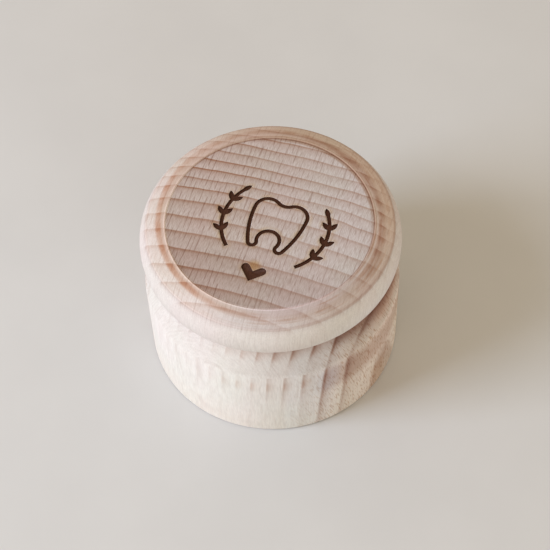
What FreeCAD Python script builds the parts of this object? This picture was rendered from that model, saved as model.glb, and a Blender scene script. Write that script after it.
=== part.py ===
"""Round turned wooden box for keeping milk teeth: a base with a collar, and a lid that lifts off.

Millimetres, +Z up. The origin is the centre of the face that the box stands on. Both pieces are
turned about Z, and the engraving on the lid is read from -Y.
"""
import FreeCAD, Part
import os
from math import cos, radians, sin

# Outside of the box
BOX_DIAMETER = 50.0          # the base's straight side, and the lid at its widest
SIDE_HEIGHT = 20.3           # straight side, from the table to the shoulder's arris
SHOULDER_HEIGHT = 8.9        # from the arris up to the seat of the lid
SHOULDER_SET_IN = 2.5        # how far the shoulder leans in over that height

# Cavity, collar and the fit of the lid
SEAT_WIDTH = 2.5             # flat ledge around the collar, which the lid stands on
COLLAR_WALL = 2.5
FLOOR_THICKNESS = 6.0
FIT_CLEARANCE = 0.25         # radial, between the collar and the lid's socket
END_CLEARANCE = 0.5          # between the collar's top and the socket's ceiling

# Lid
LID_HEIGHT = 7.55            # from the seat to the rim's inner lip, before the lip is rounded
BULGE_HEIGHT = 2.5           # from the seat to the lid's widest circle
LID_EDGE_SET_IN = 0.45       # lower edge, inside the widest circle
ARRIS_SET_IN = 1.5           # arris between side and rim, inside the widest circle
RIM_DROP = 1.25              # from the lip down to that arris
RIM_WIDTH = 3.7              # sloping rim, from the arris in to the lip
DISC_DEPTH = 0.3             # step from the lip down to the sunk disc
TOP_THICKNESS = 3.0          # wood between the sunk disc and the socket's ceiling

# Rounded and broken edges
FOOT_ROUND = 0.6
ARRIS_ROUND = 0.3
LIP_ROUND = 0.1
EDGE_ROUND = 0.3
CAVITY_ROUND = 4.0
LEAD_IN = 0.5                # chamfers that guide the lid onto the collar

# Engraving on the sunk disc, in a frame that is turned with it
ENGRAVING_DEPTH = 0.3
ENGRAVING_TURN = -24.0       # degrees about Z
ENGRAVING_SHIFT = (1.3, -0.5)
STROKE = 0.75

# Tooth outline: tangent arcs, half of it drawn and then mirrored
CUSP_RADIUS = 2.5
CUSP_CENTRE = (2.7, 2.9)
VALLEY_LEVEL = 4.6           # dip between the two cusps
SIDE_RADIUS = 20.0
ROOT_RADIUS = 0.8
ROOT_LEVEL = -5.0            # centre of each root's round tip
CROTCH_LEVEL = -1.6          # top of the arch between the roots

# Heart: two round-ended lobes that meet at right angles
HEART_TIP = (0.0, -13.45)
HEART_LOBE_LENGTH = 3.1
HEART_LOBE_WIDTH = 1.65

# Leafy sprigs to the left and right of the tooth
SPRIG_RADIUS = 10.2
SPRIG_START = -48.0          # degrees from the tooth's right-hand side
SPRIG_END = 34.0
LEAF_PAIRS = 4
LEAF_LENGTH = 2.3
LEAF_WIDTH = 1.0
LEAF_SPREAD = 38.0           # degrees between a leaf and its stem

# Radii and levels that follow from the sizes above
BOX_RADIUS = BOX_DIAMETER / 2
SEAT_LEVEL = SIDE_HEIGHT + SHOULDER_HEIGHT
SEAT_RADIUS = BOX_RADIUS - SHOULDER_SET_IN
COLLAR_RADIUS = SEAT_RADIUS - SEAT_WIDTH
CAVITY_RADIUS = COLLAR_RADIUS - COLLAR_WALL
SOCKET_RADIUS = COLLAR_RADIUS + FIT_CLEARANCE
LIP_LEVEL = SEAT_LEVEL + LID_HEIGHT
DISC_LEVEL = LIP_LEVEL - DISC_DEPTH
CEILING_LEVEL = DISC_LEVEL - TOP_THICKNESS
COLLAR_LEVEL = CEILING_LEVEL - END_CLEARANCE
LID_EDGE_RADIUS = BOX_RADIUS - LID_EDGE_SET_IN
ARRIS_RADIUS = BOX_RADIUS - ARRIS_SET_IN
ARRIS_LEVEL = LIP_LEVEL - RIM_DROP
DISC_RADIUS = ARRIS_RADIUS - RIM_WIDTH

SAME_PLACE = 1e-4            # edges this close to a stated place are the ones meant
Z_AXIS = FreeCAD.Vector(0, 0, 1)


def profile_point(radius, level):
    return FreeCAD.Vector(radius, 0, level)


def lines_through(points):
    return [Part.LineSegment(a, b).toShape() for a, b in zip(points, points[1:])]


def turned(edges):
    """Solid made by turning a closed outline, drawn in the XZ plane, about Z."""
    face = Part.Face(Part.Wire(edges))
    solid = face.revolve(FreeCAD.Vector(), Z_AXIS, 360)
    return Part.Solid(solid.Shells[0])


def ring_edges(solid, *places):
    """Circular edges of a turned solid at the given (radius, level) places."""
    rings = []
    for radius, level in places:
        for edge in solid.Edges:
            curve = edge.Curve
            if not isinstance(curve, Part.Circle):
                continue
            if abs(curve.Radius - radius) < SAME_PLACE and abs(curve.Center.z - level) < SAME_PLACE:
                rings.append(edge)
    return rings


def bulging_arc(end_radius, end_level):
    """Arc from the lid's widest circle, upright there, to another circle of its side."""
    widest_level = SEAT_LEVEL + BULGE_HEIGHT
    inwards = BOX_RADIUS - end_radius
    along = end_level - widest_level
    radius = (inwards ** 2 + along ** 2) / (2 * inwards)
    centre = profile_point(BOX_RADIUS - radius, widest_level)
    end = profile_point(end_radius, end_level)
    widest = profile_point(BOX_RADIUS, widest_level)
    middle = centre + ((widest - centre) + (end - centre)).normalize() * radius
    return Part.Arc(widest, middle, end).toShape()


def make_base():
    outline = lines_through([
        profile_point(0, 0),
        profile_point(BOX_RADIUS, 0),
        profile_point(BOX_RADIUS, SIDE_HEIGHT),
        profile_point(SEAT_RADIUS, SEAT_LEVEL),
        profile_point(COLLAR_RADIUS, SEAT_LEVEL),
        profile_point(COLLAR_RADIUS, COLLAR_LEVEL),
        profile_point(CAVITY_RADIUS, COLLAR_LEVEL),
        profile_point(CAVITY_RADIUS, FLOOR_THICKNESS),
        profile_point(0, FLOOR_THICKNESS),
        profile_point(0, 0),
    ])
    base = turned(outline)
    base = base.makeFillet(FOOT_ROUND, ring_edges(base, (BOX_RADIUS, 0)))
    base = base.makeFillet(ARRIS_ROUND, ring_edges(base, (BOX_RADIUS, SIDE_HEIGHT)))
    base = base.makeFillet(CAVITY_ROUND, ring_edges(base, (CAVITY_RADIUS, FLOOR_THICKNESS)))
    base = base.makeChamfer(LEAD_IN, ring_edges(base, (COLLAR_RADIUS, COLLAR_LEVEL)))
    return base.makeFillet(
        EDGE_ROUND, ring_edges(base, (SEAT_RADIUS, SEAT_LEVEL), (CAVITY_RADIUS, COLLAR_LEVEL)))


def make_lid():
    lower_side = bulging_arc(LID_EDGE_RADIUS, SEAT_LEVEL)
    upper_side = bulging_arc(ARRIS_RADIUS, ARRIS_LEVEL)
    rim_and_disc = lines_through([
        profile_point(ARRIS_RADIUS, ARRIS_LEVEL),
        profile_point(DISC_RADIUS, LIP_LEVEL),
        profile_point(DISC_RADIUS, DISC_LEVEL),
        profile_point(0, DISC_LEVEL),
        profile_point(0, CEILING_LEVEL),
        profile_point(SOCKET_RADIUS, CEILING_LEVEL),
        profile_point(SOCKET_RADIUS, SEAT_LEVEL),
        profile_point(LID_EDGE_RADIUS, SEAT_LEVEL),
    ])
    lid = turned([lower_side, upper_side] + rim_and_disc)
    lid = lid.makeFillet(ARRIS_ROUND, ring_edges(lid, (ARRIS_RADIUS, ARRIS_LEVEL)))
    lid = lid.makeFillet(LIP_ROUND, ring_edges(lid, (DISC_RADIUS, LIP_LEVEL)))
    lid = lid.makeChamfer(LEAD_IN, ring_edges(lid, (SOCKET_RADIUS, SEAT_LEVEL)))
    lid = lid.makeFillet(
        EDGE_ROUND,
        ring_edges(lid, (LID_EDGE_RADIUS, SEAT_LEVEL), (SOCKET_RADIUS, CEILING_LEVEL)))
    return lid.cut(make_engraving())


def figure_point(across, up):
    return FreeCAD.Vector(across, up, 0)


def from_angle(radius, degrees):
    return figure_point(radius * cos(radians(degrees)), radius * sin(radians(degrees)))


def towards(start, target, distance):
    return start + (target - start).normalize() * distance


def mirrored(shape):
    return shape.mirror(FreeCAD.Vector(), FreeCAD.Vector(1, 0, 0))


def pocket(face):
    """Solid that an engraved face takes out of the wood, from the lip's level down into the disc."""
    solid = face.extrude(FreeCAD.Vector(0, 0, DISC_DEPTH + ENGRAVING_DEPTH))
    solid.translate(FreeCAD.Vector(0, 0, -ENGRAVING_DEPTH))
    return solid


def tooth_half():
    """Right half of a tooth's outline, from the dip at its top to the arch between its roots."""
    cusp = figure_point(*CUSP_CENTRE)
    dip = figure_point(0, VALLEY_LEVEL)
    rise = VALLEY_LEVEL - cusp.y
    valley_radius = (cusp.x ** 2 + rise ** 2 - CUSP_RADIUS ** 2) / (2 * (CUSP_RADIUS - rise))
    valley = dip + figure_point(0, valley_radius)
    valley_end = towards(valley, cusp, valley_radius)
    shoulder = cusp + figure_point(CUSP_RADIUS, 0)

    side = shoulder - figure_point(SIDE_RADIUS, 0)
    fall = ROOT_LEVEL - side.y
    root_across = ((SIDE_RADIUS - ROOT_RADIUS) ** 2 - fall ** 2) ** 0.5
    root = figure_point(side.x + root_across, ROOT_LEVEL)
    root_start = towards(side, root, SIDE_RADIUS)

    height = CROTCH_LEVEL - ROOT_LEVEL
    arch_radius = (root.x ** 2 + height ** 2 - ROOT_RADIUS ** 2) / (2 * (ROOT_RADIUS + height))
    arch = figure_point(0, CROTCH_LEVEL - arch_radius)
    root_end = towards(root, arch, ROOT_RADIUS)

    def arc(centre, radius, start, end):
        middle = towards(centre, (start + end) * 0.5, radius)
        return Part.Arc(start, middle, end).toShape()

    root_bottom = root - figure_point(0, ROOT_RADIUS)
    return [
        arc(valley, valley_radius, dip, valley_end),
        arc(cusp, CUSP_RADIUS, valley_end, shoulder),
        arc(side, SIDE_RADIUS, shoulder, root_start),
        Part.Arc(root_start, root_bottom, root_end).toShape(),
        arc(arch, arch_radius, root_end, figure_point(0, CROTCH_LEVEL)),
    ]


def make_tooth():
    half = tooth_half()
    outline = Part.Wire(Part.__sortEdges__(half + [mirrored(edge) for edge in half]))
    outer = Part.Face(outline.makeOffset2D(STROKE / 2))
    inner = Part.Face(outline.makeOffset2D(-STROKE / 2))
    return [pocket(outer.cut(inner))]


def make_heart():
    tip = figure_point(*HEART_TIP)
    lobe = from_angle(1, 45)
    across = from_angle(1, 135)
    outer_end = tip + lobe * HEART_LOBE_LENGTH
    inner_end = outer_end + across * HEART_LOBE_WIDTH
    crown = (outer_end + inner_end) * 0.5 + lobe * (HEART_LOBE_WIDTH / 2)
    notch = tip + figure_point(0, HEART_LOBE_WIDTH * 2 ** 0.5)
    half = [
        Part.LineSegment(tip, outer_end).toShape(),
        Part.Arc(outer_end, crown, inner_end).toShape(),
        Part.LineSegment(inner_end, notch).toShape(),
    ]
    outline = Part.Wire(Part.__sortEdges__(half + [mirrored(edge) for edge in half]))
    return [pocket(Part.Face(outline))]


def make_leaf(base, direction):
    """Pointed oval leaf that starts at base and points along direction, in degrees."""
    tip = base + from_angle(LEAF_LENGTH, direction)
    middle = (base + tip) * 0.5
    bulge = from_angle(LEAF_WIDTH / 2, direction + 90)
    sides = [
        Part.Arc(base, middle + bulge, tip).toShape(),
        Part.Arc(tip, middle - bulge, base).toShape(),
    ]
    return pocket(Part.Face(Part.Wire(sides)))


def make_sprig():
    """Sprig on the right of the tooth: a bowed stem, pairs of leaves and one leaf at its end."""
    half_stroke = STROKE / 2
    middle = (SPRIG_START + SPRIG_END) / 2
    inside = SPRIG_RADIUS - half_stroke
    outside = SPRIG_RADIUS + half_stroke
    stem = [
        Part.Arc(*[from_angle(outside, a) for a in (SPRIG_START, middle, SPRIG_END)]).toShape(),
        Part.LineSegment(from_angle(outside, SPRIG_END), from_angle(inside, SPRIG_END)).toShape(),
        Part.Arc(*[from_angle(inside, a) for a in (SPRIG_END, middle, SPRIG_START)]).toShape(),
        Part.LineSegment(from_angle(inside, SPRIG_START), from_angle(outside, SPRIG_START)).toShape(),
    ]
    pockets = [pocket(Part.Face(Part.Wire(stem)))]
    step = (SPRIG_END - SPRIG_START) / LEAF_PAIRS
    for pair in range(1, LEAF_PAIRS):
        angle = SPRIG_START + pair * step
        for side in (-LEAF_SPREAD, LEAF_SPREAD):
            pockets.append(make_leaf(from_angle(SPRIG_RADIUS, angle), angle + 90 + side))
    onwards = SPRIG_END + 90
    last_base = from_angle(SPRIG_RADIUS, SPRIG_END) - from_angle(STROKE, onwards)
    pockets.append(make_leaf(last_base, onwards))
    return pockets


def make_engraving():
    """All engraved pockets as one solid, turned to its place on the disc."""
    right = make_sprig()
    left = [mirrored(shape) for shape in right]
    pockets = make_tooth() + make_heart() + right + left
    engraving = pockets[0].fuse(pockets[1:]).removeSplitter()
    engraving.translate(figure_point(*ENGRAVING_SHIFT))
    engraving.rotate(FreeCAD.Vector(), Z_AXIS, ENGRAVING_TURN)
    engraving.translate(FreeCAD.Vector(0, 0, DISC_LEVEL))
    return engraving


def main():
    os.makedirs("parts", exist_ok=True)
    pieces = {"base": make_base(), "lid": make_lid()}
    for node, shape in pieces.items():
        print(node, "valid", shape.isValid(), "solids", len(shape.Solids), "mm3", round(shape.Volume, 1))
        shape.exportStep("parts/" + node + ".step")


main()
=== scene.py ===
"""Looks of a small turned beech box for milk teeth: a base with a cavity and a lift-off engraved lid."""
from collections import namedtuple
from math import asin, cos, pi, radians, sin

import bmesh
import bpy
from mathutils import Euler, Matrix, Vector
from mathutils.bvhtree import BVHTree


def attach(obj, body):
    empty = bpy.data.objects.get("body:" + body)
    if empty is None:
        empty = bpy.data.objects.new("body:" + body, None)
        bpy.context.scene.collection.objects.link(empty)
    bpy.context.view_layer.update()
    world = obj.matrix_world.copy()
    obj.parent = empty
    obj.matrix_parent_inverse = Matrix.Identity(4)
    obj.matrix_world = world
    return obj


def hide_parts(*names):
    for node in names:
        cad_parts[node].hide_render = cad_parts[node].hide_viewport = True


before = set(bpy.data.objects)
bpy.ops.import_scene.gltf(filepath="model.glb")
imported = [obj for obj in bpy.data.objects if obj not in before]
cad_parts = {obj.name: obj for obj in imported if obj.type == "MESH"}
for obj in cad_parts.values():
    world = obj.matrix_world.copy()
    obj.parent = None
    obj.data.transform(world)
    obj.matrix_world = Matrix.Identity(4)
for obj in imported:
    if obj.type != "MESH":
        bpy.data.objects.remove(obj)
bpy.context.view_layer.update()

MM = 0.001
PER_MM = (1 / MM, 1 / MM, 1 / MM)

# Turned outline of the box, in millimetres, as the solids have it
BOX_RADIUS = 25.0
SIDE_HEIGHT = 20.3
SEAT_LEVEL = 29.2
SEAT_RADIUS = 22.5
COLLAR_RADIUS = 20.0
COLLAR_LEVEL = 32.95
CAVITY_RADIUS = 17.5
CAVITY_FLOOR = 6.0
SOCKET_RADIUS = 20.25
CEILING_LEVEL = 33.45
WIDEST_LEVEL = 31.7
LID_EDGE_RADIUS = 24.55
ARRIS_RADIUS = 23.5
ARRIS_LEVEL = 35.5
LIP_LEVEL = 36.75
DISC_RADIUS = 19.8
DISC_LEVEL = 36.45
ENGRAVING_LEVEL = 36.15
STEP_LEAN = 0.04

# Roundings of the edges: width along the lines that meet there, in millimetres, and number of segments
FOOT_ROUNDING = (0.6, 5)
SHOULDER_ROUNDING = (0.8, 5)
SEAT_ROUNDING = (0.25, 3)
COLLAR_ROUNDING = (0.5, 3)
CAVITY_LIP_ROUNDING = (0.3, 4)
CAVITY_FLOOR_ROUNDING = (4.0, 12)
STEP_FOOT_ROUNDING = (0.06, 2)
LIP_ROUNDING = (0.145, 4)
ARRIS_ROUNDING = (0.12, 2)
LID_EDGE_ROUNDING = (0.3, 4)
SOCKET_ROUNDING = (0.5, 3)

# Fineness of the meshes, with distances in millimetres
TURNS = 384
SIDE_STEPS = 10
DISC_CUTS = 52
SAME_PLACE = 0.01
SEAM_WELD = 0.0001
SHARP_ANGLE = radians(30)

# Cutter of the engraving, in millimetres, and the lid's attribute for the distance from it
SOLID_WELD = 0.001
FLAT_ANGLE = radians(1)
CUTTER_TOP = LIP_LEVEL + 1.0
AWAY_ATTRIBUTE = "engraving_away"

# Camera, from the photograph, which is 550 pixels wide. Distances are in millimetres
PHOTO_WIDTH = 550
FOCAL_PIXELS = 1659.3
SENSOR_WIDTH = 36.0
CAMERA_ELEVATION = 56.55
CAMERA_ROLL = -2.43
CAMERA_PLACE = (0.52, -180.78, 291.60)
CAMERA_NEAREST = 10.0


def deselect_everything():
    bpy.ops.object.select_all(action="DESELECT")


def make_active(piece):
    deselect_everything()
    piece.select_set(True)
    bpy.context.view_layer.objects.active = piece


def edit(piece):
    make_active(piece)
    bpy.ops.object.mode_set(mode="EDIT")
    bpy.ops.mesh.select_mode(type="VERT")


def finish_edit():
    bpy.ops.object.mode_set(mode="OBJECT")


def select_where(piece, chosen):
    """Selects the vertices of a piece in edit mode for which chosen(place in mm) is true."""
    bpy.ops.mesh.select_all(action="DESELECT")
    mesh = bmesh.from_edit_mesh(piece.data)
    for vertex in mesh.verts:
        vertex.select_set(chosen(vertex.co / MM))
    mesh.select_flush_mode()
    bmesh.update_edit_mesh(piece.data)


def draw_outline(name, points):
    """Draws half of a turned outline in the XZ plane, by pulling one vertex from point to point."""
    deselect_everything()
    bpy.ops.mesh.primitive_plane_add(size=MM)
    piece = bpy.context.object
    piece.name = piece.data.name = name
    edit(piece)
    bpy.ops.mesh.select_all(action="SELECT")
    bpy.ops.mesh.merge(type="CENTER")
    places = [Vector((radius, 0, level)) * MM for radius, level in points]
    bpy.ops.transform.translate(value=places[0])
    for start, end in zip(places, places[1:]):
        bpy.ops.mesh.extrude_region_move(TRANSFORM_OT_translate={"value": end - start})
    return piece


def near(radius, level):
    return lambda place: abs(place.x - radius) < SAME_PLACE and abs(place.z - level) < SAME_PLACE


def round_corner(piece, radius, level, width, segments):
    """Rounds one corner of an outline. Width runs along each of the two lines that meet there."""
    select_where(piece, near(radius, level))
    bpy.ops.mesh.bevel(offset=width * MM, segments=segments, affect="VERTICES")


def turn_on_lathe():
    """Spins the outline in edit mode about Z into a closed piece."""
    bpy.ops.mesh.select_all(action="SELECT")
    bpy.ops.mesh.spin(steps=TURNS, angle=2 * pi, use_auto_merge=True, center=(0, 0, 0), axis=(0, 0, 1))
    bpy.ops.mesh.select_all(action="SELECT")
    bpy.ops.mesh.remove_doubles(threshold=SEAM_WELD * MM)
    bpy.ops.mesh.normals_make_consistent(inside=False)
    finish_edit()


def bulging_side(end_radius, end_level):
    """Points of the lid's side from its widest circle, where it is upright, to another circle."""
    inwards = BOX_RADIUS - end_radius
    along = end_level - WIDEST_LEVEL
    radius = (inwards ** 2 + along ** 2) / (2 * inwards)
    span = asin(along / radius)
    angles = [span * step / SIDE_STEPS for step in range(SIDE_STEPS + 1)]
    return [(BOX_RADIUS - radius + radius * cos(a), WIDEST_LEVEL + radius * sin(a)) for a in angles]


def make_base():
    base = draw_outline("base_turned", [
        (0, 0),
        (BOX_RADIUS, 0),
        (BOX_RADIUS, SIDE_HEIGHT),
        (SEAT_RADIUS, SEAT_LEVEL),
        (COLLAR_RADIUS, SEAT_LEVEL),
        (COLLAR_RADIUS, COLLAR_LEVEL),
        (CAVITY_RADIUS, COLLAR_LEVEL),
        (CAVITY_RADIUS, CAVITY_FLOOR),
        (0, CAVITY_FLOOR),
    ])
    round_corner(base, BOX_RADIUS, 0, *FOOT_ROUNDING)
    round_corner(base, BOX_RADIUS, SIDE_HEIGHT, *SHOULDER_ROUNDING)
    round_corner(base, SEAT_RADIUS, SEAT_LEVEL, *SEAT_ROUNDING)
    round_corner(base, COLLAR_RADIUS, COLLAR_LEVEL, *COLLAR_ROUNDING)
    round_corner(base, CAVITY_RADIUS, COLLAR_LEVEL, *CAVITY_LIP_ROUNDING)
    round_corner(base, CAVITY_RADIUS, CAVITY_FLOOR, *CAVITY_FLOOR_ROUNDING)
    turn_on_lathe()
    return base


def make_lid():
    step_foot = DISC_RADIUS - STEP_LEAN
    step_head = DISC_RADIUS + STEP_LEAN
    outer_side = bulging_side(LID_EDGE_RADIUS, SEAT_LEVEL)
    upper_side = bulging_side(ARRIS_RADIUS, ARRIS_LEVEL)
    lid = draw_outline("lid_turned", [
        (0, DISC_LEVEL),
        (step_foot, DISC_LEVEL),
        (step_head, LIP_LEVEL),
        *reversed(upper_side),
        *outer_side[1:],
        (SOCKET_RADIUS, SEAT_LEVEL),
        (SOCKET_RADIUS, CEILING_LEVEL),
        (0, CEILING_LEVEL),
    ])
    select_where(lid, lambda place: place.z > DISC_LEVEL - SAME_PLACE and place.x < step_foot + SAME_PLACE)
    bpy.ops.mesh.subdivide(number_cuts=DISC_CUTS)
    round_corner(lid, step_foot, DISC_LEVEL, *STEP_FOOT_ROUNDING)
    round_corner(lid, step_head, LIP_LEVEL, *LIP_ROUNDING)
    round_corner(lid, ARRIS_RADIUS, ARRIS_LEVEL, *ARRIS_ROUNDING)
    round_corner(lid, LID_EDGE_RADIUS, SEAT_LEVEL, *LID_EDGE_ROUNDING)
    round_corner(lid, SOCKET_RADIUS, SEAT_LEVEL, *SOCKET_ROUNDING)
    turn_on_lathe()
    return lid


def make_engraving_cutter(burnt):
    """Solid that fills the engraved pockets, raised from the floors that the lid's solid has."""
    cutter = bpy.data.objects.new("engraving_cutter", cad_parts["lid"].data.copy())
    bpy.context.scene.collection.objects.link(cutter)
    cutter.data.materials.clear()
    cutter.data.materials.append(burnt)
    edit(cutter)
    bpy.ops.mesh.select_all(action="SELECT")
    bpy.ops.mesh.remove_doubles(threshold=SOLID_WELD * MM)
    select_where(cutter, lambda place: abs(place.z - ENGRAVING_LEVEL) > SAME_PLACE)
    bpy.ops.mesh.delete(type="VERT")
    bpy.ops.mesh.select_all(action="SELECT")
    bpy.ops.mesh.dissolve_limited(angle_limit=FLAT_ANGLE)
    bpy.ops.mesh.select_all(action="SELECT")
    rise = (CUTTER_TOP - ENGRAVING_LEVEL) * MM
    bpy.ops.mesh.extrude_region_move(TRANSFORM_OT_translate={"value": (0, 0, rise)})
    bpy.ops.mesh.select_all(action="SELECT")
    bpy.ops.mesh.normals_make_consistent(inside=False)
    finish_edit()
    return cutter


def engrave(lid, cutter):
    """Cuts the pockets and stores how far each vertex of the lid lies from the engraving, in mm."""
    make_active(lid)
    cut = lid.modifiers.new("engraving", "BOOLEAN")
    cut.operation = "DIFFERENCE"
    cut.solver = "EXACT"
    cut.material_mode = "TRANSFER"
    cut.object = cutter
    bpy.ops.object.modifier_apply(modifier=cut.name)
    tree = BVHTree.FromObject(cutter, bpy.context.evaluated_depsgraph_get())
    away = lid.data.attributes.new(AWAY_ATTRIBUTE, "FLOAT", "POINT")
    for vertex, value in zip(lid.data.vertices, away.data):
        value.value = tree.find_nearest(vertex.co)[3] / MM
    bpy.data.objects.remove(cutter)


# Sockets of a colour's Mix node
MIX_SHARE = 0
MIX_FIRST = 6
MIX_SECOND = 7
MIX_RESULT = 2

# Limits of a mark about one value: full within core of the middle, absent beyond the edge
Near = namedtuple("Near", "middle core edge")


class Sheet:
    """Shorthand for wiring the nodes of one material or node group."""

    def __init__(self, tree):
        self.tree = tree

    def node(self, kind, **settings):
        made = self.tree.nodes.new(kind)
        for name, value in settings.items():
            setattr(made, name, value)
        return made

    def feed(self, socket, value):
        if isinstance(value, bpy.types.NodeSocket):
            self.tree.links.new(value, socket)
        else:
            socket.default_value = value

    def math(self, operation, *values, clamp=False):
        made = self.node("ShaderNodeMath", operation=operation, use_clamp=clamp)
        for socket, value in zip(made.inputs, values):
            self.feed(socket, value)
        return made.outputs[0]

    def product(self, first, *others):
        for other in others:
            first = self.math("MULTIPLY", first, other)
        return first

    def spread(self, value, low, high, to_low=0.0, to_high=1.0):
        """Smooth step of a value from one range to another."""
        made = self.node("ShaderNodeMapRange", interpolation_type="SMOOTHSTEP")
        for socket, item in zip(made.inputs, (value, low, high, to_low, to_high)):
            self.feed(socket, item)
        return made.outputs[0]

    def fade(self, share, at_none, at_full):
        """Value that runs from one number to another as a share grows from 0 to 1."""
        return self.spread(share, 0.0, 1.0, at_none, at_full)

    def nearness(self, value, middle, core, edge):
        """1 where a value is within core of the middle, 0 beyond the edge."""
        return self.spread(self.math("ABSOLUTE", self.math("SUBTRACT", value, middle)), edge, core)

    def blend(self, share, first, second, kind="MIX"):
        made = self.node("ShaderNodeMix", data_type="RGBA", blend_type=kind)
        self.feed(made.inputs[MIX_SHARE], share)
        self.feed(made.inputs[MIX_FIRST], first)
        self.feed(made.inputs[MIX_SECOND], second)
        return made.outputs[MIX_RESULT]

    def tint(self, share, colour, factors):
        return self.blend(share, colour, factors, "MULTIPLY")

    def noise(self, place, scale, detail, roughness=0.5):
        made = self.node("ShaderNodeTexNoise")
        settings = {"Vector": place, "Scale": scale, "Detail": detail, "Roughness": roughness}
        for name, value in settings.items():
            self.feed(made.inputs[name], value)
        return made.outputs["Fac"]

    def streaks(self, place, scales, detail):
        """Noise with a scale of its own along each axis."""
        return self.noise(self.stretch(place, scales), 1.0, detail)

    def join(self, x, y, z):
        made = self.node("ShaderNodeCombineXYZ")
        for socket, value in zip(made.inputs, (x, y, z)):
            self.feed(socket, value)
        return made.outputs[0]

    def split(self, vector):
        made = self.node("ShaderNodeSeparateXYZ")
        self.feed(made.inputs[0], vector)
        return made.outputs

    def stretch(self, vector, factors):
        made = self.node("ShaderNodeVectorMath", operation="MULTIPLY")
        self.feed(made.inputs[0], vector)
        self.feed(made.inputs[1], factors)
        return made.outputs[0]

    def length(self, x, y):
        squares = self.math("ADD", self.math("MULTIPLY", x, x), self.math("MULTIPLY", y, y))
        return self.math("SQRT", squares)


def new_group(name, inputs, outputs):
    group = bpy.data.node_groups.new(name, "ShaderNodeTree")
    for label, kind, value in inputs:
        socket = group.interface.new_socket(name=label, in_out="INPUT", socket_type=kind)
        if value is not None:
            socket.default_value = value
    for label, kind in outputs:
        group.interface.new_socket(name=label, in_out="OUTPUT", socket_type=kind)
    sheet = Sheet(group)
    return sheet, sheet.node("NodeGroupInput").outputs, sheet.node("NodeGroupOutput").inputs


VALUE = "NodeSocketFloat"
PLACE = "NodeSocketVector"

# Scales of the grain's patterns, per millimetre: across the rays, outwards and along the trunk
WAVER_SCALES = (0.11, 0.11, 0.02)
RAY_SWAY_SCALES = (0.8, 0.096, 0.16)
RAY_DASH_SCALES = (1.3, 0.4, 0.2)
FIBRE_SCALES = (6.0, 0.8, 0.3)
FLECK_SCALES = (5.0, 1.0, 0.6)
PORE_SCALES = (7.0, 7.0, 0.6)
CLOUD_SCALES = (0.1, 0.1, 0.05)

# Parts of a ring's width that its dark line takes, counted back from its end, and strengths of the rings
LINE_START = (0.26, 0.06)
LINE_END = (0.0, 0.03)
RING_STRENGTHS = (0.75, 1.0)

# Rays per millimetre, the part of its room that a ray fills, the values of noise between which each pattern
# comes in, and the slant of the flecks
RAYS_PER_MM = 1.05
RAY_WIDTH = Near(0.5, 0.04, 0.15)
RAY_DASHES = (0.40, 0.58)
FIBRES = (0.3, 0.7)
FLECKS = (0.52, 0.74)
FLECK_SLANT = 0.25


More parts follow.
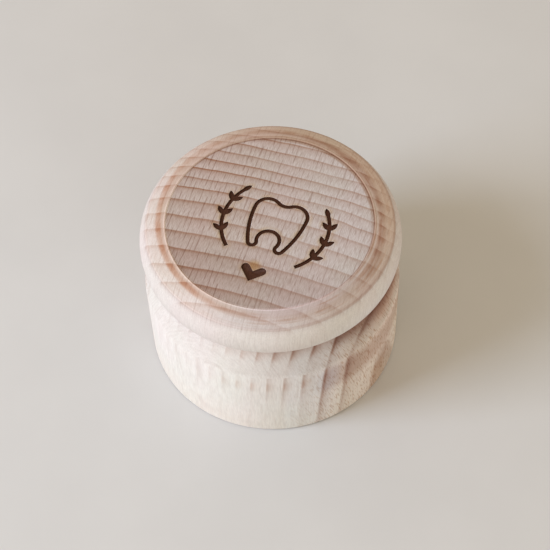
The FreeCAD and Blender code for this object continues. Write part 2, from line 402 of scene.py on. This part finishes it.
def make_beech_group():
    """Solid beech: growth rings about a far pith, medullary rays and fine pores, in millimetres."""
    sheet, given, result = new_group(
        "beech_grain",
        [
            ("Place", PLACE, None),
            ("Pith Distance", VALUE, 150.0),
            ("Lean", VALUE, 0.0),
            ("Rings Per mm", VALUE, 0.25),
            ("Crowded Beyond", VALUE, 100.0),
            ("Crowding Per mm", VALUE, 0.0),
            ("Ring Shift", VALUE, 0.0),
            ("Line Weight", VALUE, 0.32),
            ("Fade Out", VALUE, 0.07),
            ("Narrowness", VALUE, 1.7),
        ],
        [("Ring", VALUE), ("Ray", VALUE), ("Fibre", VALUE), ("Fleck", VALUE), ("Pore", VALUE),
         ("Cloud", VALUE), ("Across", VALUE), ("Outwards", VALUE)],
    )
    place = given["Place"]
    across, y, z = sheet.split(place)
    waver = sheet.streaks(place, WAVER_SCALES, detail=3.0)
    outwards = sheet.length(across, sheet.math("ADD", y, given["Pith Distance"]))
    outwards = sheet.math("SUBTRACT", outwards, given["Pith Distance"])
    outwards = sheet.math("ADD", outwards, sheet.math("MULTIPLY", z, given["Lean"]))
    outwards = sheet.math("ADD", outwards, sheet.math("SUBTRACT", waver, 0.5))
    beyond = sheet.math("MAXIMUM", sheet.math("SUBTRACT", outwards, given["Crowded Beyond"]), 0.0)
    phase = sheet.math("ADD", sheet.math("MULTIPLY", outwards, given["Rings Per mm"]), given["Ring Shift"])
    phase = sheet.math("ADD", phase, sheet.math("MULTIPLY", beyond, given["Crowding Per mm"]))
    ring_age = sheet.math("FRACT", phase)
    ring_left = sheet.math("SUBTRACT", 1.0, ring_age)
    year = sheet.node("ShaderNodeTexWhiteNoise", noise_dimensions="1D")
    sheet.feed(year.inputs["W"], sheet.math("FLOOR", phase))
    strength = sheet.fade(year.outputs["Value"], *RING_STRENGTHS)
    late_wood = sheet.product(sheet.math("POWER", ring_age, given["Narrowness"]),
                              sheet.spread(ring_left, 0.0, given["Fade Out"]))
    late_wood = sheet.product(late_wood, sheet.math("SUBTRACT", 1.0, given["Line Weight"]))
    line = sheet.product(sheet.spread(ring_left, *LINE_START), sheet.spread(ring_left, *LINE_END))
    ring = sheet.math("ADD", late_wood, sheet.math("MULTIPLY", line, given["Line Weight"]))
    sheet.feed(result["Ring"], sheet.math("MULTIPLY", ring, strength))

    grain_place = sheet.join(across, outwards, z)
    ray_sway = sheet.streaks(grain_place, RAY_SWAY_SCALES, detail=1.0)
    swaying = sheet.math("ADD", sheet.math("MULTIPLY", across, RAYS_PER_MM), ray_sway)
    ray_count = sheet.math("FRACT", swaying)
    dashes = sheet.streaks(grain_place, RAY_DASH_SCALES, detail=1.0)
    rays = sheet.product(sheet.nearness(ray_count, *RAY_WIDTH), sheet.spread(dashes, *RAY_DASHES))
    sheet.feed(result["Ray"], rays)
    fibres = sheet.streaks(grain_place, FIBRE_SCALES, detail=1.0)
    sheet.feed(result["Fibre"], sheet.spread(fibres, *FIBRES))
    slanted = sheet.math("SUBTRACT", across, sheet.math("MULTIPLY", z, FLECK_SLANT))
    flecks = sheet.streaks(sheet.join(slanted, outwards, z), FLECK_SCALES, detail=0.0)
    sheet.feed(result["Fleck"], sheet.spread(flecks, *FLECKS))
    sheet.feed(result["Pore"], sheet.streaks(place, PORE_SCALES, detail=1.0))
    sheet.feed(result["Cloud"], sheet.streaks(place, CLOUD_SCALES, detail=2.0))
    sheet.feed(result["Across"], across)
    sheet.feed(result["Outwards"], outwards)
    return sheet.tree


def start_material(name):
    material = bpy.data.materials.new(name)
    material.use_nodes = True
    sheet = Sheet(material.node_tree)
    shader = material.node_tree.nodes["Principled BSDF"]
    coords = sheet.node("ShaderNodeTexCoord").outputs
    return material, sheet, shader, coords


def wood_grain(sheet, coords, group, turn, values):
    """Grain at the object's places in millimetres, turned so that +Y points outwards."""
    mapping = sheet.node("ShaderNodeMapping", vector_type="POINT")
    sheet.feed(mapping.inputs["Vector"], coords["Object"])
    mapping.inputs["Scale"].default_value = PER_MM
    mapping.inputs["Rotation"].default_value = (0, 0, radians(turn))
    grain = sheet.node("ShaderNodeGroup", node_tree=group)
    sheet.feed(grain.inputs["Place"], mapping.outputs[0])
    for label, value in values.items():
        grain.inputs[label].default_value = value
    return grain.outputs


# Surface of the wood: roughness by its pores, gloss, and relief with its depth in millimetres
WOOD_ROUGHNESS = (0.2, 0.8, 0.58, 0.70)
WOOD_SPECULAR = 0.3
RELIEF_STRENGTH = 0.25
RELIEF_DEPTH = 0.04
RAY_RELIEF = 0.6


def wood_surface(sheet, shader, grain, specular):
    """Sanded bare wood: dull, with a little relief from pores, rays and rings."""
    sheet.feed(shader.inputs["Roughness"], sheet.spread(grain["Pore"], *WOOD_ROUGHNESS))
    shader.inputs["Specular IOR Level"].default_value = specular
    bump = sheet.node("ShaderNodeBump")
    bump.inputs["Strength"].default_value = RELIEF_STRENGTH
    bump.inputs["Distance"].default_value = RELIEF_DEPTH * MM
    relief = sheet.math("SUBTRACT", grain["Pore"], sheet.math("MULTIPLY", grain["Ray"], RAY_RELIEF))
    sheet.feed(bump.inputs["Height"], sheet.math("SUBTRACT", relief, grain["Ring"]))
    sheet.feed(shader.inputs["Normal"], bump.outputs[0])


# Colours of bare beech, and how far rays and fibres show on its sides
END_LIGHT = (0.562, 0.484, 0.453, 1)
END_DARK = (0.290, 0.115, 0.040, 1)
SIDE_DARK = (0.345, 0.188, 0.125, 1)
END_GRAIN_FACES = (0.45, 0.9)
RAY_TINT = (0.68, 0.58, 0.54, 1)
RAYS_ACROSS = (-14.0, 10.0, 1.0, 0.7)
SIDE_RAYS = 0.15
FIBRE_TINT = (0.80, 0.745, 0.715, 1)
SIDE_FIBRES = 0.3
CLOUD_PINK = (1.015, 0.985, 0.99, 1)
CLOUD_CREAM = (0.99, 1.0, 0.98, 1)
CLOUDS = (0.3, 0.7)
PORE_TONES = (0.3, 0.7, 0.95, 1.05)


class Wood:
    """Colour of a wooden piece in the making, and the measures in millimetres that place its marks."""

    def __init__(self, sheet, coords, grain):
        self.sheet = sheet
        self.grain = grain
        self.place = sheet.stretch(coords["Object"], PER_MM)
        self.x, self.y, height = sheet.split(self.place)
        self.radius = sheet.length(self.x, self.y)
        self.measures = {
            "across": grain["Across"],
            "outwards": grain["Outwards"],
            "rightwards": self.x,
            "height": height,
            "radius": self.radius,
        }
        upright = sheet.math("ABSOLUTE", sheet.split(coords["Normal"])[2])
        self.end_grain = sheet.spread(upright, *END_GRAIN_FACES)
        self.colour = None

    def limit(self, measure, limits):
        """Share by one measure, whose limits lie near a value or run from absent to full."""
        value = self.measures[measure]
        if isinstance(limits, Near):
            return self.sheet.nearness(value, *limits)
        return self.sheet.spread(value, *limits)

    def where(self, *shares, **limits):
        """Product of all the shares and of the limits on measures."""
        limited = [self.limit(measure, ends) for measure, ends in limits.items()]
        return self.sheet.product(*shares, *limited)

    def mark(self, *shares, tint, **limits):
        """Tints the wood where all the shares and limits hold."""
        self.colour = self.sheet.tint(self.where(*shares, **limits), self.colour, tint)

    def towards(self, way):
        """Cosine of the angle between a place and one way from the axis."""
        sheet = self.sheet
        along_x = sheet.math("MULTIPLY", self.x, cos(way))
        along_y = sheet.math("MULTIPLY", self.y, sin(way))
        return sheet.math("DIVIDE", sheet.math("ADD", along_x, along_y), self.radius)

    def start(self, side_light, side_rings, end_rings, end_marks):
        """Bare beech, paler on its sides than on its end grain. The shares weaken its marks."""
        sheet, grain = self.sheet, self.grain
        side = sheet.blend(sheet.math("MULTIPLY", grain["Ring"], side_rings), side_light, SIDE_DARK)
        end = sheet.blend(sheet.math("MULTIPLY", grain["Ring"], end_rings), END_LIGHT, END_DARK)
        self.colour = sheet.blend(self.end_grain, side, end)
        end_rays = self.where(end_marks, across=RAYS_ACROSS)
        self.mark(grain["Ray"], sheet.fade(self.end_grain, SIDE_RAYS, end_rays), tint=RAY_TINT)
        self.mark(grain["Fibre"], sheet.fade(self.end_grain, SIDE_FIBRES, end_marks), tint=FIBRE_TINT)
        clouds = sheet.blend(sheet.spread(grain["Cloud"], *CLOUDS), CLOUD_PINK, CLOUD_CREAM)
        pores = sheet.spread(grain["Pore"], *PORE_TONES)
        self.colour = sheet.tint(1.0, self.colour, sheet.tint(1.0, clouds, sheet.join(pores, pores, pores)))


# Grain of the base. Its count of rings is negative, so that each is crisp on its left and fades to the right
BASE_GRAIN_TURN = 121.0
BASE_GRAIN = {
    "Pith Distance": 400.0,
    "Lean": -0.05,
    "Rings Per mm": -0.366,
    "Ring Shift": -0.09,
    "Line Weight": 0.2,
    "Fade Out": 0.13,
    "Narrowness": 2.6,
}
BASE_SIDE = (0.728, 0.672, 0.612, 1)
BASE_FOOT = (0.720, 0.656, 0.576, 1)
BASE_FOOT_HEIGHT = (12.0, 0.0)
BASE_END_RINGS = 0.8
BASE_END_MARKS = 0.8

# Regions of the base. Limits run from where a mark is absent to where it is full, in millimetres.
# Where there are four values, the last two are the shares at both ends
BELOW_SHOULDER = (SIDE_HEIGHT + 0.2, SIDE_HEIGHT - 0.2)
OUTSIDE = (COLLAR_RADIUS, SEAT_RADIUS)
ON_BACK = (-17.0, -22.0, 0.0, 0.7)
FAR_RIGHT = {"outwards": (18.0, 22.0), "across": (5.0, 0.0)}

# Where the base's rings show, and what is left of them in a band that is rubbed pale
SIDE_RINGS = (6.0, SIDE_HEIGHT - 1.0, 0.1, 0.9)
SHOULDER_RINGS = (SIDE_HEIGHT + 1.0, SEAT_LEVEL - 2.0, 0.0, 1.4)
RIGHT_RINGS = {"outwards": (15.5, 18.5), "height": (0.0, 18.0, 0.6, 1.3)}
RINGS_OUTWARDS = (4.0, 18.0, 0.2, 1.0)
RUBBED_BAND = Near(SIDE_HEIGHT + 1.4, 0.6, 2.6)
RUBBED_RINGS = 0.45

# Marks on the right of the base
GREYER_WOOD = {"tint": (0.93, 0.935, 0.95, 1), "outwards": (0.0, 16.0)}
COOL_WOOD = {"tint": (1.02, 1.045, 1.08, 1), "outwards": Near(17.5, 2.5, 4.0)}
BROWN_WOOD = {"outwards": (17.5, 24.5), "height": (0.0, 14.0, 0.7, 1.0)}
BROWN_TINT = (1.06, 0.97, 0.90, 1)
TAN_TINT = (1.18, 1.10, 1.04, 1)
TAN_ACROSS = (-1.0, -6.0)
PATCH = {"outwards": (16.5, 20.8), "across": (-2.0, 9.0, 0.75, 1.0), "height": (10.3, 14.2)}
PATCH_TOP = (SIDE_HEIGHT, SIDE_HEIGHT - 2.5, 0.35, 1.0)
GREY_PATCH_TINT = (0.79, 0.77, 0.84, 1)
BROWN_PATCH_TINT = (0.73, 0.62, 0.57, 1)
BROWN_PATCH_OUTWARDS = (19.0, 22.5)
ORANGE_PATCH = {
    "tint": (0.88, 0.78, 0.70, 1),
    "across": Near(2.2, 1.2, 3.4),
    "outwards": (22.0, 24.0),
    "height": (10.0, 6.5),
}

# Marks on the shoulder of the base, with painted shade on it and under the lid. The foot of the arc of
# painted shade sinks from one height to another on its way outwards
# Painted shade on the shoulder, which faces up into the light
SHOULDER_PAINTED_SHADE = {
    "tint": (0.82, 0.80, 0.79, 1),
    "height": (SIDE_HEIGHT - 0.6, SIDE_HEIGHT + 1.0),
    "outwards": (0.0, 20.0, 0.5, 1.0),
}
TAN_SHOULDER = {"tint": (0.94, 0.80, 0.73, 1), "height": (SIDE_HEIGHT + 0.5, SIDE_HEIGHT + 3.0)}
RUBBED_CORNER = {"tint": (1.11, 1.12, 1.15, 1), "height": Near(SIDE_HEIGHT - 0.9, 0.4, 1.5)}
# Painted shade under the lid's overhang, darker towards the seat
PAINTED_SHADE_UNDER_LID = {
    "tint": (0.80, 0.66, 0.60, 1),
    "height": (SEAT_LEVEL - 5.0, SEAT_LEVEL - 1.0),
    "outwards": (-5.0, 20.0, 0.05, 1.0),
}
# Painted shade of the lid's edge on the right, over a dark growth ring
PAINTED_SHADE_ARC = {"tint": (0.50, 0.34, 0.28, 1), "outwards": (17.4, 20.4)}
PAINTED_SHADE_ARC_FOOT = (19.8, 22.0, SEAT_LEVEL - 5.5, SEAT_LEVEL - 7.6)
PAINTED_SHADE_ARC_TOP = SEAT_LEVEL - 3.0

# Smudges along the arris, painted shade on the rings under the lid, and short flecks
SIDE_SMUDGES = Near(SIDE_HEIGHT - 3.3, 0.5, 2.2)
# Painted shade of the lid on the rings just under it
SHADE_UNDER_LID_ON_RINGS = Near(SEAT_LEVEL - 3.0, 0.8, 2.2)
SMUDGES_AND_PAINTED_SHADE = {"tint": (0.83, 0.67, 0.59, 1), "outwards": (-3.0, 9.0)}
SMUDGES_AND_SHADE_END = (21.5, 18.5)
FLECK_TINT = (0.76, 0.63, 0.54, 1)
FLECKS_OUTWARDS = (13.0, 23.5, 0.05, 1.0)


def ring_share_of_base(wood, below_shoulder, on_back):
    """How far the growth rings show on the side and the shoulder: most on the right, least on the left."""
    sheet = wood.sheet
    on_side = wood.where(below_shoulder, height=SIDE_RINGS)
    on_shoulder = wood.where(height=SHOULDER_RINGS)
    unrubbed = sheet.fade(wood.where(height=RUBBED_BAND), 1.0, RUBBED_RINGS)
    on_right = wood.where(unrubbed, **RIGHT_RINGS)
    by_height = sheet.math("MAXIMUM", sheet.math("ADD", on_side, on_shoulder), on_right)
    return sheet.math("MAXIMUM", wood.where(by_height, outwards=RINGS_OUTWARDS), on_back)


def mark_right_of_base(wood, below_shoulder):
    """Grey wood turns brown and tan towards the right, with a darker patch under the arris."""
    sheet = wood.sheet
    wood.mark(**GREYER_WOOD)
    wood.mark(**COOL_WOOD)
    wood.mark(tint=sheet.blend(wood.where(across=TAN_ACROSS), BROWN_TINT, TAN_TINT), **BROWN_WOOD)
    patch_tint = sheet.blend(wood.where(outwards=BROWN_PATCH_OUTWARDS), GREY_PATCH_TINT, BROWN_PATCH_TINT)
    wood.mark(below_shoulder, wood.where(height=PATCH_TOP), tint=patch_tint, **PATCH)
    wood.mark(**ORANGE_PATCH)


def mark_shoulder(wood, outside):
    """The shoulder gets painted shade that darkens it, more towards the lid and under the lid's edge, and
    its arris is rubbed pale on the far right.
    """
    far_right = wood.where(**FAR_RIGHT)
    # Painted shade over the shoulder
    wood.mark(outside, **SHOULDER_PAINTED_SHADE)
    wood.mark(outside, far_right, **TAN_SHOULDER)
    wood.mark(far_right, **RUBBED_CORNER)
    # Painted shade under the lid
    wood.mark(outside, **PAINTED_SHADE_UNDER_LID)
    # Painted shade of the lid's edge on the right, over a dark growth ring
    shade_arc_foot = wood.where(outwards=PAINTED_SHADE_ARC_FOOT)
    wood.mark(outside, height=(shade_arc_foot, PAINTED_SHADE_ARC_TOP), **PAINTED_SHADE_ARC)


def make_base_wood(group):
    """Base wood: pale at the front left, brown rings and flecks on the right, with painted shade under the
    lid.
    """
    material, sheet, shader, coords = start_material("base_beech")
    grain = wood_grain(sheet, coords, group, BASE_GRAIN_TURN, BASE_GRAIN)
    wood = Wood(sheet, coords, grain)
    below_shoulder = wood.where(height=BELOW_SHOULDER)
    outside = wood.where(radius=OUTSIDE)
    on_back = wood.where(outwards=ON_BACK)
    side_light = sheet.blend(wood.where(height=BASE_FOOT_HEIGHT), BASE_SIDE, BASE_FOOT)
    side_rings = ring_share_of_base(wood, below_shoulder, on_back)
    wood.start(side_light, side_rings, BASE_END_RINGS, BASE_END_MARKS)
    mark_right_of_base(wood, below_shoulder)
    mark_shoulder(wood, outside)
    # Smudges on the rings along the arris, and painted shade on the rings under the lid
    smudges_and_shade = sheet.math("MAXIMUM", wood.where(height=SIDE_SMUDGES), wood.where(height=SHADE_UNDER_LID_ON_RINGS))
    wood.mark(smudges_and_shade, grain["Ring"], outside, wood.where(outwards=SMUDGES_AND_SHADE_END), **SMUDGES_AND_PAINTED_SHADE)
    fleck_share = sheet.math("MAXIMUM", wood.where(outwards=FLECKS_OUTWARDS), on_back)
    wood.mark(grain["Fleck"], fleck_share, tint=FLECK_TINT)
    sheet.feed(shader.inputs["Base Color"], wood.colour)
    wood_surface(sheet, shader, grain, WOOD_SPECULAR)
    return material


LID_GRAIN_TURN = 19.5
LID_GRAIN = {
    "Pith Distance": 156.0,
    "Rings Per mm": 0.274,
    "Crowded Beyond": 3.0,
    "Crowding Per mm": 0.138,
    "Ring Shift": -0.3265,
}
LID_SIDE = (0.635, 0.564, 0.514, 1)

# Regions of the lid, and how far rings and other marks show on its side, disc and rim
LID_TOP = (ARRIS_LEVEL - 0.3, ARRIS_LEVEL)
RIM = (DISC_RADIUS - 0.1, DISC_RADIUS + 0.1)
LID_SIDE_RINGS = 0.05
LID_RINGS_ACROSS = (-18.0, 10.0, 1.0, 0.6)
DISC_AND_RIM_RINGS = (1.0, 0.4)
DISC_AND_RIM_MARKS = (0.9, 0.4)

# Paler and darker parts of the lid, and painted light on its side wall at the right
PALER_WOOD = {"tint": (1.065, 1.145, 1.20, 1), "across": (-14.0, 16.0)}
RIGHT_SIDE_PAINTED_LIGHT = {"tint": (1.08, 1.11, 1.14, 1), "rightwards": (8.0, 22.0)}
DARKER_WOOD = {"tint": (0.86, 0.81, 0.79, 1), "outwards": (-4.0, -14.0)}

# Parts of the rim: ways from the axis, and cosines of the angle to them. Tints come in pairs, for the brown
# and for the pale part
PALE_WAY = radians(190)
PALE_PART = (-0.6, 0.95)
RIM_TINTS = ((1.04, 0.92, 0.78, 1), (1.23, 1.27, 1.25, 1))
GREY_WAY = radians(292)
GREY_PART = (0.4, 1.0)
GREY_TINT = (0.86, 0.87, 0.93, 1)
LIP_TINTS = ((1.0, 1.02, 1.08, 1), (0.88, 0.78, 0.71, 1))
ARRIS_TINTS = ((0.84, 0.77, 0.75, 1), (0.96, 0.92, 0.90, 1))
ARRIS = {"radius": Near(ARRIS_RADIUS, 0.1, 0.35), "height": (ARRIS_LEVEL - 0.6, ARRIS_LEVEL - 0.2)}

# Circles that the turning tool left on the rim, with patches between them
TURNING = {"tint": (0.84, 0.70, 0.61, 1), "radius": (ARRIS_RADIUS, ARRIS_RADIUS - 0.8)}
TURNING_SHARES = (1.0, 0.4)
CIRCLE_SCALES = (1.7, 0.06, 0.06)
CIRCLES = (0.42, 0.62)
MOTTLE_SCALE = 0.4
MOTTLE = (0.3, 0.7, 0.2, 1.0)

# Brown circle on the rim, slightly oval, patchy, and fainter at the front and at the back
BURNISH_TINTS = ((0.66, 0.49, 0.41, 1), (0.78, 0.53, 0.40, 1))
BURNISH_RADIUS = 20.92
BURNISH_OVAL = 0.9
BURNISH_WAY = radians(119)
BURNISH_CORE = 0.25
BURNISH_EDGES = (1.1, 0.8)
BURNISH_LEAST = 0.3
BURNISH_BY_MOTTLE = 0.5
BURNISH_BY_RING = 0.7
FRONT_WAY = radians(280)
FAINT_FRONT = (0.4, 0.9, 1.0, 0.38)
FAINT_BACK = (-0.5, -0.95, 1.0, 0.55)
LIP = (BURNISH_RADIUS + 0.75, BURNISH_RADIUS - 0.05)

# Step from the rim to the disc: painted light on the window side, where the step's wall faces away from the
# window light, and painted shade on the far side, where the wall faces it. Painted shade also darkens the
# disc's edge and the step's foot
# Way from the axis towards the window light
WINDOW_SIDE_WAY = radians(222)
STEP = Near(DISC_RADIUS, 0.2, 0.45)
# Painted shade on the step's wall where it faces the window light, and painted light where the wall faces
# away from it
STEP_PAINTED_SHADE = (0.75, 0.68, 0.59, 1)
STEP_PAINTED_LIGHT = (1.30, 1.35, 1.45, 1)
# Painted shade along the disc's edge, on the side away from the window light
DISC_EDGE_PAINTED_SHADE = {"tint": (0.74, 0.60, 0.50, 1), "radius": Near(DISC_RADIUS - 0.35, 0.15, 0.55)}
DISC_EDGE_SHADE_PART = (-0.4, -0.95)
# Painted shade in the corner at the step's foot, all round but on the window side
STEP_FOOT_PAINTED_SHADE = {"tint": (0.76, 0.62, 0.55, 1), "radius": Near(DISC_RADIUS - 0.12, 0.06, 0.22)}
STEP_FOOT_SHADE_PART = (0.6, -0.2)

# Heat marks: a patchy halo about the engraving, and a stain in the notch of the heart
SCORCH_TINT = (0.88, 0.74, 0.50, 1)
SCORCH_REACH = (1.0, 0.0)
SCORCH_SCALE = 0.45
SCORCH_PATCHES = (0.35, 0.65, 0.1, 0.7)
STAIN_TINT = (0.87, 0.69, 0.41, 1)
STAIN_PLACE = (-3.3, -10.0)
STAIN_REACH = (1.9, 0.4)


def mark_lid_wood(wood, rim):
    """End grain paler on one side and darker near the pith, and painted light that makes the side wall paler
    on the right.
    """
    sheet = wood.sheet
    wood.mark(wood.end_grain, **PALER_WOOD)
    # Painted light on the lid's side wall at the right
    wood.mark(sheet.fade(wood.end_grain, 1.0, 0.0), **RIGHT_SIDE_PAINTED_LIGHT)
    wood.mark(wood.end_grain, sheet.fade(rim, 1.0, 0.0), **DARKER_WOOD)


def mark_rim(wood, rim, pale):
    """Rim between brown and pale, with the tool's circles, a lip and a burnished circle."""
    sheet = wood.sheet
    wood.mark(rim, tint=sheet.blend(pale, *RIM_TINTS))
    wood.mark(rim, sheet.spread(wood.towards(GREY_WAY), *GREY_PART), tint=GREY_TINT)
    circles = sheet.streaks(sheet.join(wood.radius, wood.x, wood.y), CIRCLE_SCALES, detail=1.0)
    mottle = sheet.spread(sheet.noise(wood.place, MOTTLE_SCALE, detail=3.0), *MOTTLE)
    turning_share = sheet.fade(pale, *TURNING_SHARES)
    wood.mark(rim, sheet.spread(circles, *CIRCLES), turning_share, mottle, **TURNING)
    wood.mark(rim, tint=sheet.blend(pale, *LIP_TINTS), radius=LIP)
    burnish_way = wood.towards(BURNISH_WAY)
    oval = sheet.math("MULTIPLY", burnish_way, burnish_way)
    burnish_radius = sheet.math("MULTIPLY_ADD", oval, BURNISH_OVAL, BURNISH_RADIUS)
    burnish = sheet.nearness(wood.radius, burnish_radius, BURNISH_CORE, sheet.fade(pale, *BURNISH_EDGES))
    patches = sheet.math("ADD", sheet.math("MULTIPLY_ADD", mottle, BURNISH_BY_MOTTLE, BURNISH_LEAST),
                         sheet.math("MULTIPLY", wood.grain["Ring"], BURNISH_BY_RING), clamp=True)
    front_way = wood.towards(FRONT_WAY)
    strength = sheet.product(sheet.spread(front_way, *FAINT_FRONT), sheet.spread(front_way, *FAINT_BACK))
    wood.mark(burnish, rim, patches, strength, tint=sheet.blend(pale, *BURNISH_TINTS))


def mark_edges(wood, top, pale):
    """Step between rim and disc with painted light and shade on it and painted shade at its foot, and the
    arris round the rim.
    """
    sheet = wood.sheet
    window_side = wood.towards(WINDOW_SIDE_WAY)
    # Painted light on the step on the window side, where its wall is in shade, and painted shade on the far
    # side, where the wall is lit
    step_light_and_shade = sheet.blend(sheet.spread(window_side, -1.0, 1.0), STEP_PAINTED_SHADE, STEP_PAINTED_LIGHT)
    wood.mark(top, tint=step_light_and_shade, radius=STEP)
    # Painted shade along the disc's edge, away from the window light
    wood.mark(top, sheet.spread(window_side, *DISC_EDGE_SHADE_PART), **DISC_EDGE_PAINTED_SHADE)
    # Painted shade in the step's foot, all round but on the window side
    wood.mark(top, sheet.spread(window_side, *STEP_FOOT_SHADE_PART), **STEP_FOOT_PAINTED_SHADE)
    wood.mark(tint=sheet.blend(pale, *ARRIS_TINTS), **ARRIS)


def scorch(wood, top):
    """Marks that the heat of engraving left on the disc."""
    sheet = wood.sheet
    away = sheet.node("ShaderNodeAttribute", attribute_name=AWAY_ATTRIBUTE).outputs["Fac"]
    patches = sheet.spread(sheet.noise(wood.place, SCORCH_SCALE, detail=2.0), *SCORCH_PATCHES)
    wood.mark(sheet.spread(away, *SCORCH_REACH), patches, tint=SCORCH_TINT)
    stain_x, stain_y = STAIN_PLACE
    from_x = sheet.math("SUBTRACT", wood.x, stain_x)
    from_y = sheet.math("SUBTRACT", wood.y, stain_y)
    wood.mark(sheet.spread(sheet.length(from_x, from_y), *STAIN_REACH), top, tint=STAIN_TINT)


def make_lid_wood(group):
    """Lid wood: end grain on top, a rim marked by the turning tool, and scorched about the engraving."""
    material, sheet, shader, coords = start_material("lid_beech")
    grain = wood_grain(sheet, coords, group, LID_GRAIN_TURN, LID_GRAIN)
    wood = Wood(sheet, coords, grain)
    top = wood.where(height=LID_TOP)
    rim = wood.where(top, radius=RIM)
    pale = sheet.spread(wood.towards(PALE_WAY), *PALE_PART)
    end_rings = wood.where(sheet.fade(rim, *DISC_AND_RIM_RINGS), across=LID_RINGS_ACROSS)
    wood.start(LID_SIDE, LID_SIDE_RINGS, end_rings, sheet.fade(rim, *DISC_AND_RIM_MARKS))
    mark_lid_wood(wood, rim)
    mark_rim(wood, rim, pale)
    mark_edges(wood, top, pale)
    scorch(wood, top)
    sheet.feed(shader.inputs["Base Color"], wood.colour)
    wood_surface(sheet, shader, grain, WOOD_SPECULAR)
    return material


CHAR_LIGHT = (0.105, 0.040, 0.021, 1)
CHAR_DARK = (0.032, 0.010, 0.005, 1)
CHAR_SPECULAR = 0.15
SOOT_SCALE = 1.6
SOOT_SHARE = 0.7
FIBRE_SHARE = 0.3


def make_char(group):
    """Burnt wood in the engraved pockets."""
    material, sheet, shader, coords = start_material("burnt_engraving")
    grain = wood_grain(sheet, coords, group, LID_GRAIN_TURN, LID_GRAIN)
    soot = sheet.noise(sheet.stretch(coords["Object"], PER_MM), SOOT_SCALE, detail=3.0, roughness=0.6)
    share = sheet.math("ADD", sheet.math("MULTIPLY", soot, SOOT_SHARE),
                       sheet.math("MULTIPLY", grain["Fibre"], FIBRE_SHARE))
    sheet.feed(shader.inputs["Base Color"], sheet.blend(share, CHAR_DARK, CHAR_LIGHT))
    wood_surface(sheet, shader, grain, CHAR_SPECULAR)
    return material


FLOOR_COLOUR = (0.63, 0.615, 0.595, 1)
FLOOR_RADIUS = 3.0
FLOOR_CORNERS = 96
FLOOR_MOTTLE_SCALE = 40.0
FLOOR_TONES = (0.3, 0.7, 0.985, 1.015)
FLOOR_ROUGHNESS = 0.75
FLOOR_SPECULAR = 0.2


def make_floor():
    deselect_everything()
    bpy.ops.mesh.primitive_circle_add(vertices=FLOOR_CORNERS, radius=FLOOR_RADIUS, fill_type="NGON")
    floor = bpy.context.object
    floor.name = floor.data.name = "pale_floor"
    material, sheet, shader, coords = start_material("pale_floor")
    tone = sheet.spread(sheet.noise(coords["Object"], FLOOR_MOTTLE_SCALE, detail=3.0), *FLOOR_TONES)
    sheet.feed(shader.inputs["Base Color"], sheet.tint(1.0, FLOOR_COLOUR, sheet.join(tone, tone, tone)))
    shader.inputs["Roughness"].default_value = FLOOR_ROUGHNESS
    shader.inputs["Specular IOR Level"].default_value = FLOOR_SPECULAR
    floor.data.materials.append(material)


WORLD_COLOUR = (1.0, 0.848, 0.64, 1)
WORLD_STRENGTH = 0.63
BACKDROP_COLOUR = (0.63, 0.60, 0.56, 1)


def make_world():
    """Warm even light all round, with a pale backdrop where the camera looks past the floor."""
    world = bpy.data.worlds.new("studio")
    bpy.context.scene.world = world
    world.use_nodes = True
    sheet = Sheet(world.node_tree)
    light = world.node_tree.nodes["Background"]
    light.inputs["Color"].default_value = WORLD_COLOUR
    light.inputs["Strength"].default_value = WORLD_STRENGTH
    backdrop = sheet.node("ShaderNodeBackground")
    backdrop.inputs["Color"].default_value = BACKDROP_COLOUR
    seen = sheet.node("ShaderNodeLightPath").outputs["Is Camera Ray"]
    mix = sheet.node("ShaderNodeMixShader")
    sheet.feed(mix.inputs[0], seen)
    sheet.feed(mix.inputs[1], light.outputs[0])
    sheet.feed(mix.inputs[2], backdrop.outputs[0])
    sheet.feed(world.node_tree.nodes["World Output"].inputs["Surface"], mix.outputs[0])


# Lamps, in metres and watts
WINDOW_LIGHT = {
    "place": (-0.74, -0.20, 0.39),
    "width": 0.36,
    "height": 0.72,
    "colour": (0.677, 0.785, 0.975),
    "watts": 9.0,
}
FILL_LIGHT = {
    "place": (0.36, -0.88, 0.19),
    "width": 0.8,
    "height": 0.3,
    "colour": (0.75, 0.90, 1.0),
    "watts": 2.95,
}


def make_lamp(name, place, width, height, colour, watts):
    """Soft lamp that points at the middle of the box's foot."""
    lamp = bpy.data.lights.new(name, "AREA")
    lamp.shape = "RECTANGLE"
    lamp.size = width
    lamp.size_y = height
    lamp.energy = watts
    lamp.color = colour
    holder = bpy.data.objects.new(name, lamp)
    bpy.context.scene.collection.objects.link(holder)
    holder.location = place
    holder.rotation_euler = (-Vector(place)).to_track_quat("-Z", "Y").to_euler()


def make_camera():
    lens = bpy.data.cameras.new("photo_camera")
    lens.sensor_width = SENSOR_WIDTH
    lens.lens = FOCAL_PIXELS / PHOTO_WIDTH * SENSOR_WIDTH
    lens.clip_start = CAMERA_NEAREST * MM
    camera = bpy.data.objects.new("photo_camera", lens)
    bpy.context.scene.collection.objects.link(camera)
    camera.location = Vector(CAMERA_PLACE) * MM
    tilt = Euler((radians(90 - CAMERA_ELEVATION), 0, 0)).to_matrix()
    camera.rotation_euler = (tilt @ Matrix.Rotation(radians(CAMERA_ROLL), 3, "Z")).to_euler()
    bpy.context.scene.camera = camera


def hand_over(piece, body):
    """Shades a finished piece and puts it on its body in place of the plain solid."""
    make_active(piece)
    bpy.ops.object.shade_smooth_by_angle(angle=SHARP_ANGLE)
    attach(piece, body)
    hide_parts(body)


def main():
    bpy.context.scene.view_settings.view_transform = "Standard"
    group = make_beech_group()
    base = make_base()
    base.data.materials.append(make_base_wood(group))
    hand_over(base, "base")

    lid = make_lid()
    lid.data.materials.append(make_lid_wood(group))
    engrave(lid, make_engraving_cutter(make_char(group)))
    hand_over(lid, "lid")

    make_floor()
    make_world()
    make_lamp("window_light", **WINDOW_LIGHT)
    make_lamp("fill_light", **FILL_LIGHT)
    make_camera()


main()
